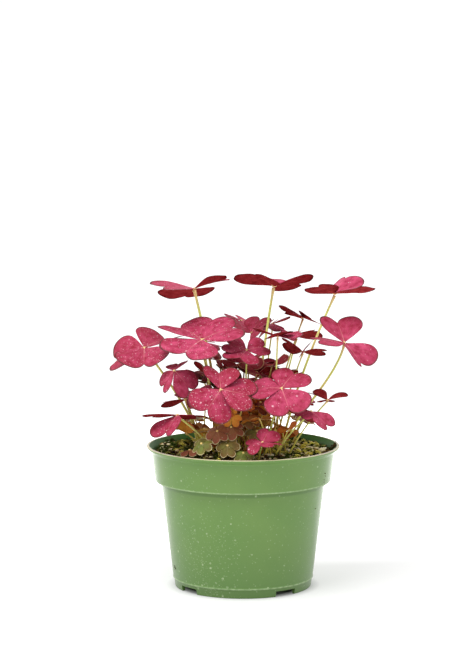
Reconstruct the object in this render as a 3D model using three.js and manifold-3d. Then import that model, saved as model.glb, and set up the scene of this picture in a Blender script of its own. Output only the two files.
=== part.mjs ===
// A purple shamrock in a round green nursery pot, in millimetres with +Z up.
// The origin is the centre of the pot's foot, on the surface that it stands on.
import * as THREE from 'three';
import { mergeVertices } from 'three/addons/utils/BufferGeometryUtils.js';
import Module from 'manifold-3d';

const wasm = await Module();
wasm.setup();

// Pot: a thin moulded wall in three stretches (foot ring, body, collar) under a flared lip
const potHeight = 83.8;
const rimRadius = 57;
const lipHeight = 3;
const lipWidth = 1.7;
const collarTopRadius = 54;
const collarBottomRadius = 52;
const collarBottom = 63.7;
const bodyTopRadius = 48.4;
const bodyBottomRadius = 41.6;
const footTop = 5.9;
const footTopRadius = 41;
const footRadius = 40.2;
const potWall = 1.3;
const floorBottom = 4.4;
const floorTop = 6;
const sides = 36;

// Four drainage notches pass through the foot ring, each with a hole in the floor behind it
const notchCount = 4;
const notchWidth = 14;
const notchHeight = 3.4;
const firstNotchAngle = -52;
const notchDepth = 14;
const drainHoleRadius = 3.5;
const drainHoleDistance = 31;
const drainHoleSides = 12;

// Soil: fills the pot to a few millimetres below the lip, with a low lumpy mound
const clearance = 0.3;
const soilEdgeHeight = 79.6;
const soilMound = 2.6;
const soilLump = 0.7;
const holeDepth = 7;
const holeSides = 6;
const holeClearance = 0.4;

// Leaf form, in parts of the leaflet's length: two round lobes, straight sides and a notch
const lobeAcross = 0.32;
const lobeAlong = 0.64;
const lobeRadius = 0.35;
const lobeSpread = 1.08;
const lobeSteps = 5;
const youngLobeSteps = 3;
const defaultFold = 12;
const foldSoftness = 0.1;
const tipCurl = 0.25;
const bladeHalfThickness = 0.32;
const simplifyTolerance = 0.01;
const leafletRootWidth = 1.2;
const leafletRootAlong = 0.75;
const rootHalfThickness = 0.5;
const hubRadius = 1.3;

// Stalks: round, thicker under longer leaflets, upright where they leave the soil, and bowed
// outwards by a part of their reach, which can differ under the hub
const stalkRadiusPart = 0.035;
const leastStalkRadius = 0.6;
const petioleSteps = 8;
const youngSteps = 4;
const footSpacing = 0.25;
const stalkCorners = 5;
const stalkBow = 0.11;
const neckHeight = 0.8;

const toRadians = THREE.MathUtils.degToRad;

const potGreen = new THREE.MeshStandardMaterial({ color: 0x76945a, roughness: 0.5, metalness: 0 });
const soilBrown = new THREE.MeshStandardMaterial({ color: 0x2e241a, roughness: 1, metalness: 0 });
const petioleGreen = new THREE.MeshStandardMaterial({ color: 0xb9bd5c, roughness: 0.5, metalness: 0 });
const leafPurple = new THREE.MeshStandardMaterial({ color: 0xb03058, roughness: 0.6, metalness: 0 });
const youngOlive = new THREE.MeshStandardMaterial({ color: 0x7a7a3c, roughness: 0.6, metalness: 0 });

const group = new THREE.Group();

function addMesh(name, geometry, material) {
  const mesh = new THREE.Mesh(geometry, material.clone());
  mesh.name = name;
  group.add(mesh);
}

// Solids: a closed mesh with its shared corners merged, and the way back to a geometry
function toSolid(geometry) {
  const bare = geometry.clone();
  bare.deleteAttribute('normal');
  bare.deleteAttribute('uv');
  const merged = mergeVertices(bare, 1e-4);
  const vertProperties = new Float32Array(merged.attributes.position.array);
  const triVerts = new Uint32Array(merged.index.array);
  return new wasm.Manifold(new wasm.Mesh({ numProp: 3, vertProperties, triVerts }));
}

function toGeometry(solid) {
  const mesh = solid.getMesh();
  const geometry = new THREE.BufferGeometry();
  geometry.setAttribute('position', new THREE.BufferAttribute(mesh.vertProperties, 3));
  geometry.setIndex(new THREE.BufferAttribute(mesh.triVerts, 1));
  return geometry;
}

// Closed bodies that cross, joined in one; a scrap that the joining leaves loose is dropped
function joined(geometries) {
  const bodies = wasm.Manifold.union(geometries.map(toSolid)).simplify(simplifyTolerance).decompose();
  return toGeometry(bodies.sort((a, b) => b.volume() - a.volume())[0]);
}

function turned(profile) {
  const points = profile.map(([radius, height]) => new THREE.Vector2(radius, height));
  return new THREE.LatheGeometry(points, sides).rotateX(Math.PI / 2);
}

// Pot wall, from the inner edge of the foot ring round the outside and back down the inside
const innerBodyBottom = bodyBottomRadius - potWall;
const innerBodyTop = bodyTopRadius - potWall;
const innerCollarBottom = collarBottomRadius - potWall;
const innerCollarTop = collarTopRadius - potWall;
const ledgeTop = collarBottom + potWall;
const potProfile = [
  [0, floorBottom],
  [footRadius - 2.2, floorBottom],
  [footRadius - 1.9, 0.3],
  [footRadius - 1.6, 0],
  [footRadius - 0.5, 0],
  [footRadius, 0.5],
  [footTopRadius, footTop - 0.8],
  [bodyBottomRadius, footTop - 0.5],
  [bodyBottomRadius, footTop],
  [bodyBottomRadius - 0.2, footTop + 0.5],
  [bodyTopRadius, collarBottom - 1],
  [collarBottomRadius - 0.4, collarBottom - 0.5],
  [collarBottomRadius, collarBottom],
  [collarTopRadius, potHeight - lipHeight],
  [rimRadius - 0.3, potHeight - 1.3],
  [rimRadius, potHeight - 0.8],
  [rimRadius - 0.3, potHeight],
  [rimRadius - lipWidth, potHeight],
  [innerCollarTop, potHeight - lipHeight],
  [innerCollarBottom, ledgeTop + 0.3],
  [innerBodyTop, collarBottom - 0.6],
  [innerBodyBottom, floorTop + 0.8],
  [innerBodyBottom - 0.8, floorTop],
  [0, floorTop],
];

function makePot() {
  let solid = toSolid(turned(potProfile));
  for (let i = 0; i < notchCount; i += 1) {
    const angle = toRadians(firstNotchAngle + (i * 360) / notchCount);
    const notch = new THREE.BoxGeometry(notchDepth, notchWidth, 2 * notchHeight);
    notch.translate(footRadius, 0, 0).rotateZ(angle);
    const drain = new THREE.CylinderGeometry(drainHoleRadius, drainHoleRadius, floorTop, drainHoleSides);
    drain.rotateX(Math.PI / 2).translate(drainHoleDistance, 0, floorTop).rotateZ(angle);
    solid = solid.subtract(toSolid(notch)).subtract(toSolid(drain));
  }
  return toGeometry(solid);
}

// Leaflet outline from its right side round both lobes to its left side, for a length of 1
function leafletOutline(steps) {
  const lobeDirection = Math.atan2(lobeAlong, lobeAcross);
  const sideAngle = lobeDirection - Math.asin(lobeRadius / Math.hypot(lobeAcross, lobeAlong));
  const start = sideAngle - Math.PI / 2;
  const end = Math.PI - Math.acos(lobeAcross / lobeRadius);
  const right = [];
  for (let i = 0; i < steps; i += 1) {
    const angle = start + ((end - start) * i) / steps;
    const across = lobeSpread * (lobeAcross + lobeRadius * Math.cos(angle));
    right.push([across, lobeAlong + lobeRadius * Math.sin(angle)]);
  }
  const notchAlong = lobeAlong + Math.sqrt(lobeRadius ** 2 - lobeAcross ** 2);
  const left = right.map(([across, along]) => [-across, along]).reverse();
  return [...right, [0, notchAlong], ...left];
}

// Height of the leaflet's face over its flat plane: folded along the midrib, tip curled down
function leafletHeight(across, along, fold) {
  const ridge = Math.hypot(across, foldSoftness) - foldSoftness;
  return -Math.tan(toRadians(fold)) * ridge - (tipCurl * along * along) / 2;
}

// Axes of a leaflet: along its midrib, across to the right, and up out of its upper face
function leafletAxes(azimuth, rise, roll) {
  const turn = toRadians(azimuth);
  const lift = toRadians(rise);
  const tilt = toRadians(roll);
  const reach = Math.cos(lift);
  const along = new THREE.Vector3(Math.cos(turn) * reach, Math.sin(turn) * reach, Math.sin(lift));
  const level = new THREE.Vector3(Math.sin(turn), -Math.cos(turn), 0);
  const upright = level.clone().cross(along);
  const across = level.clone().multiplyScalar(Math.cos(tilt)).addScaledVector(upright, Math.sin(tilt));
  const up = upright.multiplyScalar(Math.cos(tilt)).addScaledVector(level, -Math.sin(tilt));
  return { along, across, up };
}

// A closed blade from its middle face: each corner is pushed both ways along its own normal
function thickSheet(middle, pushes, triangles) {
  const count = middle.length;
  const position = [];
  for (const side of [1, -1]) {
    middle.forEach((point, i) => position.push(...point.clone().addScaledVector(pushes[i], side).toArray()));
  }
  const edges = new Set(triangles.flatMap(([a, b, c]) => [`${a} ${b}`, `${b} ${c}`, `${c} ${a}`]));
  const index = [];
  for (const [a, b, c] of triangles) {
    index.push(a, b, c, c + count, b + count, a + count);
    for (const [from, to] of [[a, b], [b, c], [c, a]]) {
      if (!edges.has(`${to} ${from}`)) {
        index.push(from, from + count, to, to, from + count, to + count);
      }
    }
  }
  const geometry = new THREE.BufferGeometry();
  geometry.setAttribute('position', new THREE.Float32BufferAttribute(position, 3));
  geometry.setIndex(index);
  return geometry;
}

// One leaflet as a closed blade: a fan from its narrow root to its outline
function leafletBlade(hub, length, [azimuth, rise, roll, fold = defaultFold], steps) {
  const outline = leafletOutline(steps);
  const last = outline.length - 1;
  const { along, across, up } = leafletAxes(azimuth, rise, roll);
  const place = (u, v) => {
    const point = hub.clone().addScaledVector(across, u * length).addScaledVector(along, v * length);
    return point.addScaledVector(up, leafletHeight(u, v, fold) * length);
  };
  const rootHalfWidth = leafletRootWidth / 2 / length;
  const rootAlong = leafletRootAlong / length;
  const rim = [[rootHalfWidth, rootAlong], [-rootHalfWidth, rootAlong], ...outline];
  const middle = rim.map(([u, v]) => place(u, v));
  const halfThicknesses = rim.map((point, i) => (i < 2 ? rootHalfThickness : bladeHalfThickness));
  const pushes = halfThicknesses.map((half) => up.clone().multiplyScalar(half));
  const triangles = [[0, 2 + last / 2, 1]];
  for (let i = 0; i < last; i += 1) {
    triangles.push([i < last / 2 ? 0 : 1, 2 + i, 3 + i]);
  }
  return thickSheet(middle, pushes, triangles);
}

// Three leaflets joined at a small round hub; each is [azimuth, rise, roll, fold, part of the size]
function leafletTrio(hub, size, leaflets, steps) {
  const ball = new THREE.OctahedronGeometry(hubRadius, 0).translate(hub.x, hub.y, hub.z);
  const blades = leaflets.map((leaflet) => leafletBlade(hub, size * (leaflet[4] ?? 1), leaflet, steps));
  return joined([ball, ...blades]);
}

// Soil surface: a low mound with shallow lumps
function soilHeight(x, y) {
  const out = Math.hypot(x, y) / rimRadius;
  const lumps = Math.sin(x * 0.31 + 1.2) * Math.cos(y * 0.27 - 0.4) + 0.6 * Math.sin(x * 0.13 - y * 0.41);
  return soilEdgeHeight + soilMound * (1 - out * out) + soilLump * lumps * (1 - out ** 6);
}

function stalkRadius(size) {
  return Math.max(leastStalkRadius, stalkRadiusPart * size);
}

// Petiole: straight in its hole, then a bowed stalk that ends under the hub
function petiole(root, end, radius, steps, topBow = stalkBow) {
  const ground = soilHeight(root[0], root[1]);
  const foot = new THREE.Vector3(root[0], root[1], ground - holeDepth + clearance);
  const neck = new THREE.Vector3(root[0], root[1], ground + neckHeight);
  const reach = new THREE.Vector3().subVectors(end, neck);
  const level = new THREE.Vector3(reach.x, reach.y, 0);
  const low = neck.clone().addScaledVector(reach, 1 / 3).addScaledVector(level, -stalkBow);
  const high = neck.clone().addScaledVector(reach, 2 / 3).addScaledVector(level, -topBow);
  const stalk = new THREE.CubicBezierCurve3(neck, low, high, end);
  const points = [foot, ...stalk.getPoints(steps)];
  return sweep(points, radius, stalkCorners);
}

// A round stalk through the given points, with flat ends
function sweep(points, radius, corners) {
  const position = [];
  const index = [];
  let normal = new THREE.Vector3(1, 0, 0);
  points.forEach((point, i) => {
    const before = points[Math.max(i - 1, 0)];
    const after = points[Math.min(i + 1, points.length - 1)];
    const tangent = new THREE.Vector3().subVectors(after, before).normalize();
    normal = normal.clone().addScaledVector(tangent, -normal.dot(tangent)).normalize();
    const side = new THREE.Vector3().crossVectors(tangent, normal);
    for (let k = 0; k < corners; k += 1) {
      const angle = (k * 2 * Math.PI) / corners;
      const corner = point.clone().addScaledVector(normal, radius * Math.cos(angle));
      position.push(...corner.addScaledVector(side, radius * Math.sin(angle)).toArray());
    }
  });
  for (let i = 0; i < points.length - 1; i += 1) {
    for (let k = 0; k < corners; k += 1) {
      const a = i * corners + k;
      const b = i * corners + ((k + 1) % corners);
      index.push(a, b, b + corners, a, b + corners, a + corners);
    }
  }
  const top = (points.length - 1) * corners;
  for (let k = 1; k < corners - 1; k += 1) {
    index.push(0, k + 1, k, top, top + k, top + k + 1);
  }
  const geometry = new THREE.BufferGeometry();
  geometry.setAttribute('position', new THREE.Float32BufferAttribute(position, 3));
  geometry.setIndex(index);
  return geometry;
}

// Full-grown leaves: hub [x, y, z], root [x, y] in the soil, leaflet length, each leaflet's
// [azimuth, rise, roll, fold] in degrees with its part of that length, and where it differs the
// bow of the stalk under the hub
const leaves = [
  [[-29, 20, 174.5], [-12, 13], 24.5, [[210, 11, 4, -4], [109, -14, 0, -9], [358, 22, 12, -8, 0.87]]],
  [[18, 13, 176.5], [6, 3], 22.5, [[227, 33, -4, 15], [115, 16, -3, 0, 0.88], [33, 7, 23, -3]]],
  [[54, 8, 172.5], [23, 2], 21, [[217, 27, -16, 3, 0.8], [55, 43, 11, 23, 0.83], [332, 23, 7, 10, 1.05]]],
  [[-58, 0, 141.5], [-24, 6], 22.5, [[165, -19, 30, -13], [50, 16, -6, -21], [270, -20, -7, -21]]],
  [[-24, -10, 147.5], [-15, -6], 25, [[131, 20, 6, -15, 1.03], [12, 25, -17, -2, 0.97],
    [242, -10, 10, -3, 1.02]]],
  [[-40, -22, 131], [-26, -10], 16.5, [[75, 25, 17, -9, 0.6], [174, -50, 27, -2, 0.81], [355, -46, -33, 0]]],
  [[-13, -41, 122.5], [-9, -18], 20.5, [[95, 50, -10, -28, 0.74], [232, -40, 45, 3, 0.94],
    [350, -7, -30, 1]]],
  [[22, -36, 122.5], [13, -22], 19.5, [[51, 36, -15, 5, 0.9], [291, -40, -14, -14], [173, 3, 21, 0, 0.9]]],
  [[2, -12, 141.5], [1, -11], 15.5, [[18, 14, -29, -4, 0.85], [252, -8, 12, 10], [169, 23, 21, -2, 0.9]]],
  [[59, -12, 146], [22, -6], 21, [[110, 50, -4, -20, 0.9], [202, 14, 5, 5, 0.9],
    [326, -39, 0, -25, 0.95]], -0.2],
  [[39, -38, 109.5], [19, -26], 15, [[336, -33, -5, -8], [122, -12, -30, 4, 0.9], [222, -10, 10, 5, 0.6]]],
  [[49, -20, 113.5], [27, -19], 12.5, [[190, 30, -20, -15, 0.9], [359, 15, 10, -20], [100, -10, 0, 6, 0.6]]],
  [[36, 34, 155.5], [15, 20], 15, [[141, 17, -27, -5], [303, 3, 31, -6, 0.86], [220, 30, 0, 12, 0.7]]],
  [[-38, -32, 106.5], [-17, -20], 18, [[155, -1, -11, 0, 1.05], [232, -35, -15, -14], [34, -3, 12, 7, 0.85]]],
  [[-33, -12, 112.5], [-25, -6], 15, [[188, 0, -19, 10], [72, 19, -2, 10], [318, 25, -35, 9]]],
  [[5, 22, 147.5], [1, 18], 15, [[190, 40, 14, 2, 0.9], [50, 48, 0, -4, 0.9], [307, 30, -30, 9]]],
  [[-1, 44, 152.5], [-4, 25], 12.5, [[179, 30, -3, 7, 0.9], [60, -2, -14, -8, 0.95], [290, -5, 0, 5]]],
  [[18, 36, 151.5], [10, 22], 12.5, [[6, 30, 12, 8, 0.9], [121, -15, 35, 12], [255, -4, 0, 10]]],
  [[20, -18, 150.5], [18, -14], 15, [[357, 18, -4, 9], [161, 20, -15, 0], [270, 25, -15, 12, 0.8]]],
  [[32, 19, 145.5], [18, 8], 14, [[82, 0, 10, -20, 0.8], [342, 26, 22, 15], [214, 30, 20, 9]]],
  [[35, -4, 139.5], [19, -4], 14, [[156, 32, -35, 11], [6, 6, 20, 4], [278, 30, -50, 6, 0.7]]],
  [[8, 17, 121.5], [4, 9], 15, [[75, 50, 10, 10], [5, 35, 40, 10], [215, -11, 3, 10]]],
  [[11, -48, 93], [9, -38], 10.5, [[51, 48, -17, 22], [185, -8, 30, 15, 0.93], [320, 4, 0, 8]]],
  [[-26, 44, 139.5], [-14, 20], 15, [[100, 5, 0, 10], [220, -5, 0, 10], [340, -5, 0, 10]]],
  [[2, 43, 116.5], [2, 28], 17, [[60, -10, 0, 10], [178, 0, 10, 10], [318, 0, -10, 10]]],
  [[28, 44, 106.5], [20, 26], 16, [[60, -15, 0, 10], [180, -5, 0, 10], [300, 0, 0, 10]]],
];

leaves.forEach(([place, root, size, leaflets, topBow], i) => {
  const number = String(i + 1).padStart(2, '0');
  const hub = new THREE.Vector3(...place);
  const trio = leafletTrio(hub, size, leaflets, lobeSteps);
  const end = hub.clone();
  end.z -= hubRadius + clearance;
  addMesh(`leaflets_${number}`, trio, leafPurple);
  addMesh(`petiole_${number}`, petiole(root, end, stalkRadius(size), petioleSteps, topBow), petioleGreen);
});

// Tufts of young leaves low over the soil, each leaf tipped outwards by its lean: a tuft has its
// root [x, y] and then its leaves, with hub [x, y, z], leaflet length, azimuth of the first
// leaflet, and the rise of all three and the lean of the leaf in degrees
const youngTufts = [
  [[-25, -30], [[-24, -46, 92], 6.5, 225, -8, 40], [[-31, -36, 86.5], 6.5, 200, -5, 5],
    [[-21, -22, 94], 8, 150, 5, -25]],
  [[-14, -34], [[-9, -44, 90.5], 7, 265, -8, 45], [[-15, -38, 98], 7.5, 280, -8, 40],
    [[-7, -36, 100], 8, 300, -10, 35]],
  [[2, -28], [[0, -46, 86.5], 6.5, 250, -8, 25], [[8, -32, 97], 7, 270, -10, 25],
    [[3, -25, 103], 7, 250, -10, 20],
    [[-4, -18, 108], 7, 200, 10, -20], [[11, -13, 108], 7.5, 100, 10, -25]],
  [[-24, 26], [[-30, 34, 96], 9, 90, -10, 20], [[-38, 12, 95], 8, 175, -10, 20],
    [[-21, 4.5, 121], 8.5, 150, 10, -30]],
  [[30, 14], [[36, 22, 98], 9, 30, -10, 20], [[37, 6, 100], 8, 330, -5, 15]],
];

// A young leaf: its three leaflets stand evenly round the hub, and tip outwards with it
function youngLeaf(hub, size, turn, rise, lean) {
  const leaflets = [0, 120, 240].map((step) => [turn + step, rise, 0]);
  const axis = new THREE.Vector3(-hub.y, hub.x, 0).normalize();
  const tip = new THREE.Quaternion().setFromAxisAngle(axis, toRadians(lean));
  const level = leafletTrio(new THREE.Vector3(), size, leaflets, youngLobeSteps);
  return level.applyQuaternion(tip).translate(hub.x, hub.y, hub.z);
}

youngTufts.forEach(([root, ...tuft], i) => {
  const solids = tuft.flatMap(([place, size, turn, rise, lean], k) => {
    const hub = new THREE.Vector3(...place);
    const foot = [root[0] + footSpacing * (k - (tuft.length - 1) / 2), root[1]];
    return [youngLeaf(hub, size, turn, rise, lean), petiole(foot, hub, leastStalkRadius, youngSteps)];
  });
  addMesh(`young_leaves_${i + 1}`, joined(solids), youngOlive);
});

// Soil: follows the inside of the pot with a small clearance, with a plain hole at each root
function makeSoil() {
  const collarSlope = (innerCollarTop - innerCollarBottom) / (potHeight - lipHeight - ledgeTop);
  const soilRadius = innerCollarTop - (potHeight - lipHeight - soilEdgeHeight) * collarSlope - clearance;
  const profile = [
    [0, floorTop + clearance],
    [innerBodyBottom - 1.2, floorTop + clearance],
    [innerBodyBottom - clearance, floorTop + 1.3],
    [innerBodyTop - clearance, collarBottom - 0.2],
    [innerCollarBottom - clearance, ledgeTop + 0.7],
    [soilRadius, soilEdgeHeight - 0.8],
    ...[0.97, 0.75, 0.5, 0.25, 0].map((part) => [soilRadius * part, soilEdgeHeight]),
  ];
  const geometry = turned(profile);
  const position = geometry.attributes.position;
  for (let i = 0; i < position.count; i += 1) {
    if (Math.abs(position.getZ(i) - soilEdgeHeight) < 0.01) {
      position.setZ(i, soilHeight(position.getX(i), position.getY(i)));
    }
  }
  let solid = toSolid(geometry);
  const roots = [
    ...leaves.map(([, root, size]) => [root, stalkRadius(size) + holeClearance]),
    ...youngTufts.map(([root]) => [root, leastStalkRadius + 2 * holeClearance]),
  ];
  for (const [[x, y], radius] of roots) {
    const ground = soilHeight(x, y);
    const hole = new THREE.CylinderGeometry(radius, radius, 2 * holeDepth, holeSides);
    hole.rotateX(Math.PI / 2).translate(x, y, ground);
    solid = solid.subtract(toSolid(hole));
  }
  return toGeometry(solid);
}

addMesh('soil', makeSoil(), soilBrown);
addMesh('pot', makePot(), potGreen);

export default group;
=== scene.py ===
# A potted purple shamrock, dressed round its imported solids. Lengths are in millimetres, and are
# turned to metres where a mesh is made.
import math
import random

import bpy
import numpy as np
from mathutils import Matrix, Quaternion, Vector, noise


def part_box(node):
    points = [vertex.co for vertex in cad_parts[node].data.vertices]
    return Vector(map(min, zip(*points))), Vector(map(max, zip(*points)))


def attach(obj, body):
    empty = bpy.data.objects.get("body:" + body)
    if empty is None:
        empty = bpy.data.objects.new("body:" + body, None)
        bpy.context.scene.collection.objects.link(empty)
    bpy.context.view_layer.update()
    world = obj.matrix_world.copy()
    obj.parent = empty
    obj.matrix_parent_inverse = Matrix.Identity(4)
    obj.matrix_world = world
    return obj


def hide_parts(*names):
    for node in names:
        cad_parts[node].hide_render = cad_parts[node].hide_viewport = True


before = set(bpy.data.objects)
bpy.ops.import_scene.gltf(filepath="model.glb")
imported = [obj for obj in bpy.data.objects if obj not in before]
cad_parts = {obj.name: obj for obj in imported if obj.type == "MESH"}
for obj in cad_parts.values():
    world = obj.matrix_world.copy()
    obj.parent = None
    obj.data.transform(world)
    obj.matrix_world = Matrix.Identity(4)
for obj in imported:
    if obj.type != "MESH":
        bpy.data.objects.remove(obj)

MM = 0.001
scene = bpy.context.scene
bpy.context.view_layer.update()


# Viewpoint: a long lens a metre and a half in front of the pot and a little above it, so that the
# rim shows as a flat oval and a level leaf is seen almost edge on.
lens_place, lens_dip, lens_length = (-3.6, -1500, 330.5), 6.82, 139.65
viewpoint = bpy.data.objects.new("viewpoint", bpy.data.cameras.new("viewpoint"))
viewpoint.location = Vector(lens_place) * MM
viewpoint.rotation_euler = (math.radians(90 - lens_dip), 0, 0)
viewpoint.data.lens = lens_length
viewpoint.data.sensor_width = 36
viewpoint.data.clip_end = 50
scene.collection.objects.link(viewpoint)
scene.camera = viewpoint
scene.view_settings.view_transform = "Standard"


# Studio: a white tent, dimmer on the viewer's side, one broad soft light from the upper left and a
# white floor lit from within, so that only a faint shadow falls to the right of the pot.
def node(tree, kind, inputs=None, **settings):
    """One shader node: settings are its options, inputs are values or the sockets that feed it."""
    made = tree.nodes.new(kind)
    for option, value in settings.items():
        setattr(made, option, value)
    for name, value in (inputs or {}).items():
        if isinstance(value, bpy.types.NodeSocket):
            tree.links.new(value, made.inputs[name])
        else:
            made.inputs[name].default_value = value
    return made


def maths(tree, operation, *values):
    """One sum on values or sockets."""
    return node(tree, "ShaderNodeMath", dict(enumerate(values)), operation=operation).outputs[0]


def ramp(tree, value, low, high, from_value=0.0, to_value=1.0):
    """A value carried from one range to another, and held at the ends."""
    inputs = {"Value": value, "From Min": low, "From Max": high, "To Min": from_value, "To Max": to_value}
    return node(tree, "ShaderNodeMapRange", inputs).outputs[0]


def cloud(tree, scale, detail, place=None):
    """Soft noise over the mesh's own box, or at the place given."""
    inputs = {"Scale": scale, "Detail": detail} | ({"Vector": place} if place else {})
    return node(tree, "ShaderNodeTexNoise", inputs).outputs["Fac"]


def distance(tree, place, point):
    """Distance in millimetres of a place from a point."""
    inputs = {0: place, 1: Vector(point) * MM}
    metres = node(tree, "ShaderNodeVectorMath", inputs, operation="DISTANCE").outputs["Value"]
    return maths(tree, "DIVIDE", metres, MM)


def finish(name, inputs):
    """A material with one Principled surface; returns it with its tree and its surface."""
    material = bpy.data.materials.new(name)
    material.use_nodes = True
    surface = material.node_tree.nodes["Principled BSDF"]
    for socket, value in inputs.items():
        surface.inputs[socket].default_value = value
    return material, material.node_tree, surface


tent = bpy.data.worlds.new("white_tent")
tent.use_nodes = True
cloth = tent.node_tree.nodes["Background"]
cloth.inputs["Color"].default_value = (1, 1, 1, 1)
towards = node(tent.node_tree, "ShaderNodeTexCoord").outputs["Generated"]
depth = node(tent.node_tree, "ShaderNodeSeparateXYZ", {0: towards}).outputs["Y"]
dimmest, brightest = 0.62, 1.02
strength = ramp(tent.node_tree, depth, -1.0, 0.4, dimmest, brightest)
tent.node_tree.links.new(strength, cloth.inputs["Strength"])
scene.world = tent

light_place, light_target, light_width, light_watts = (-320, -500, 1150), (0, 0, 90), 700, 9
soft_light = bpy.data.objects.new("soft_light", bpy.data.lights.new("soft_light", "AREA"))
soft_light.data.shape = "DISK"
soft_light.data.size = light_width * MM
soft_light.data.energy = light_watts
soft_light.location = Vector(light_place) * MM
aim = Vector(light_target) * MM - soft_light.location
soft_light.rotation_euler = aim.to_track_quat("-Z", "Y").to_euler()
scene.collection.objects.link(soft_light)

floor_half = 20000 * MM
floor_corners = [(x * floor_half, y * floor_half, 0) for x, y in ((-1, -1), (1, -1), (1, 1), (-1, 1))]
floor_mesh = bpy.data.meshes.new("floor")
floor_mesh.from_pydata(floor_corners, [], [(0, 1, 2, 3)])
floor = bpy.data.objects.new("floor", floor_mesh)
white = (1, 1, 1, 1)
floor_finish, floor_tree, floor_surface = finish("white_floor", {"Roughness": 0.9, "Emission Color": white})
floor_place = node(floor_tree, "ShaderNodeTexCoord").outputs["Object"]

# A pool of light behind the pot, which its edges mirror, and more glow far off; none under the pot
pool_middle, even_glow = (0, 388, 0), 0.43
from_pool = distance(floor_tree, floor_place, pool_middle)
from_pot = distance(floor_tree, floor_place, (0, 0, 0))
glow = maths(floor_tree, "ADD", ramp(floor_tree, from_pool, 120, 340, 1.9, 0.0), even_glow)
glow = maths(floor_tree, "ADD", glow, ramp(floor_tree, from_pot, 120, 1000, 0.0, 0.25))
glow = maths(floor_tree, "MULTIPLY", glow, ramp(floor_tree, from_pot, 34, 46))
floor_tree.links.new(glow, floor_surface.inputs["Emission Strength"])
floor_tone = ramp(floor_tree, cloud(floor_tree, 3.0, 2.0), 0.0, 1.0, 0.55, 0.57)
floor_tree.links.new(floor_tone, floor_surface.inputs["Base Color"])
floor_mesh.materials.append(floor_finish)
scene.collection.objects.link(floor)


# Pot: one thin shell of sage-green plastic, injection moulded, with a flared lip, a collar, a
# tapered body and a foot ring with four drainage notches. It is scuffed, with dried mineral specks.
def piece(name, corners, faces, finishes, face_finish=None, numbers=None, smooth=True):
    """A mesh piece from corners in millimetres, riding with the pot; numbers are kept per corner."""
    mesh = bpy.data.meshes.new(name)
    mesh.from_pydata(np.asarray(corners, float) * MM, [], faces)
    for material in finishes:
        mesh.materials.append(material)
    if face_finish is not None:
        mesh.polygons.foreach_set("material_index", np.asarray(face_finish, np.int32))
    for label, values in (numbers or {}).items():
        values = np.asarray(values, np.float32)
        kind, field = ("FLOAT", "value") if values.ndim == 1 else ("FLOAT_VECTOR", "vector")
        mesh.attributes.new(label, kind, "POINT").data.foreach_set(field, values.ravel())
    mesh.polygons.foreach_set("use_smooth", np.full(len(mesh.polygons), smooth))
    mesh.update()
    made = bpy.data.objects.new(name, mesh)
    scene.collection.objects.link(made)
    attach(made, "root")
    return made


def rounded(corners, arc_steps=4):
    """A profile of (radius, height, rounding) corners with each corner turned into a small arc."""
    points = [Vector(corners[0][:2])]
    for before, corner, after in zip(corners, corners[1:], corners[2:]):
        centre = Vector(corner[:2])
        back = Vector(before[:2]) - centre
        ahead = Vector(after[:2]) - centre
        cut = min(corner[2], 0.45 * back.length, 0.45 * ahead.length)
        start = centre + back.normalized() * cut
        end = centre + ahead.normalized() * cut
        for i in range(arc_steps + 1):
            t = i / arc_steps
            points.append(start * (1 - t) ** 2 + centre * 2 * t * (1 - t) + end * t * t)
    points.append(Vector(corners[-1][:2]))
    return points


def round_axis(radius, angle, *height):
    """A point at a radius and angle round the pot's axis, with its height where it is given."""
    return (radius * math.cos(angle), radius * math.sin(angle), *height)


def ring_faces(sides, rings):
    """Faces that join rings of corners, between a first and a last corner on the axis."""
    faces = []
    for k in range(sides):
        after = (k + 1) % sides
        faces.append((0, 1 + after, 1 + k))
        for ring in range(rings - 1):
            low = 1 + ring * sides
            faces.append((low + k, low + after, low + sides + after, low + sides + k))
        last = 1 + (rings - 1) * sides
        faces.append((last + k, last + after, last + sides))
    return faces


def turned(points, sides):
    """Corners and faces of a profile turned round Z, with its first and last point on the axis."""
    corners = [(0, 0, points[0].y)]
    for point in points[1:-1]:
        for k in range(sides):
            corners.append(round_axis(point.x, 2 * math.pi * k / sides, point.y))
    corners.append((0, 0, points[-1].y))
    return corners, ring_faces(sides, len(points) - 2)


pot_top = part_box("pot")[1].z / MM
rim_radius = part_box("pot")[1].x / MM
lip_height, lip_width = 3, 1.7
collar_top_radius, collar_bottom_radius, collar_bottom = 54, 52, 63.7
body_top_radius, body_bottom_radius = 48.4, 41.6
foot_top, foot_radius = 5.9, 40.2
pot_wall = 1.3
floor_under, floor_top = 4.4, 6.0
pot_sides = 200
pot_profile = [
    (0, floor_under, 0),
    (foot_radius - 2.2, floor_under, 0.6),
    (foot_radius - 1.8, 0, 0.4),
    (foot_radius, 0, 0.5),
    (foot_radius + 0.8, foot_top - 0.8, 0.2),
    (body_bottom_radius, foot_top - 0.6, 0.2),
    (body_bottom_radius, foot_top, 0.2),
    (body_bottom_radius - 0.2, foot_top + 0.5, 0.3),
    (body_top_radius, collar_bottom - 1, 0.5),
    (collar_bottom_radius - 0.2, collar_bottom - 0.7, 0.3),
    (collar_bottom_radius, collar_bottom, 0.4),
    (collar_top_radius, pot_top - lip_height, 1),
    (rim_radius - 0.3, pot_top - 1.4, 0.4),
    (rim_radius, pot_top - 0.8, 0.4),
    (rim_radius - 0.1, pot_top, 0.3),
    (rim_radius - lip_width, pot_top, 0.3),
    (collar_top_radius - pot_wall, pot_top - lip_height, 1.5),
    (collar_bottom_radius - pot_wall, collar_bottom + 1.6, 1),
    (body_top_radius - pot_wall, collar_bottom - 0.6, 1),
    (body_bottom_radius - pot_wall, floor_top, 1.2),
    (0, floor_top, 0),
]
notch_count, first_notch, notch_width, notch_height, notch_reach = 4, -52, 14, 3.4, 7
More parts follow.
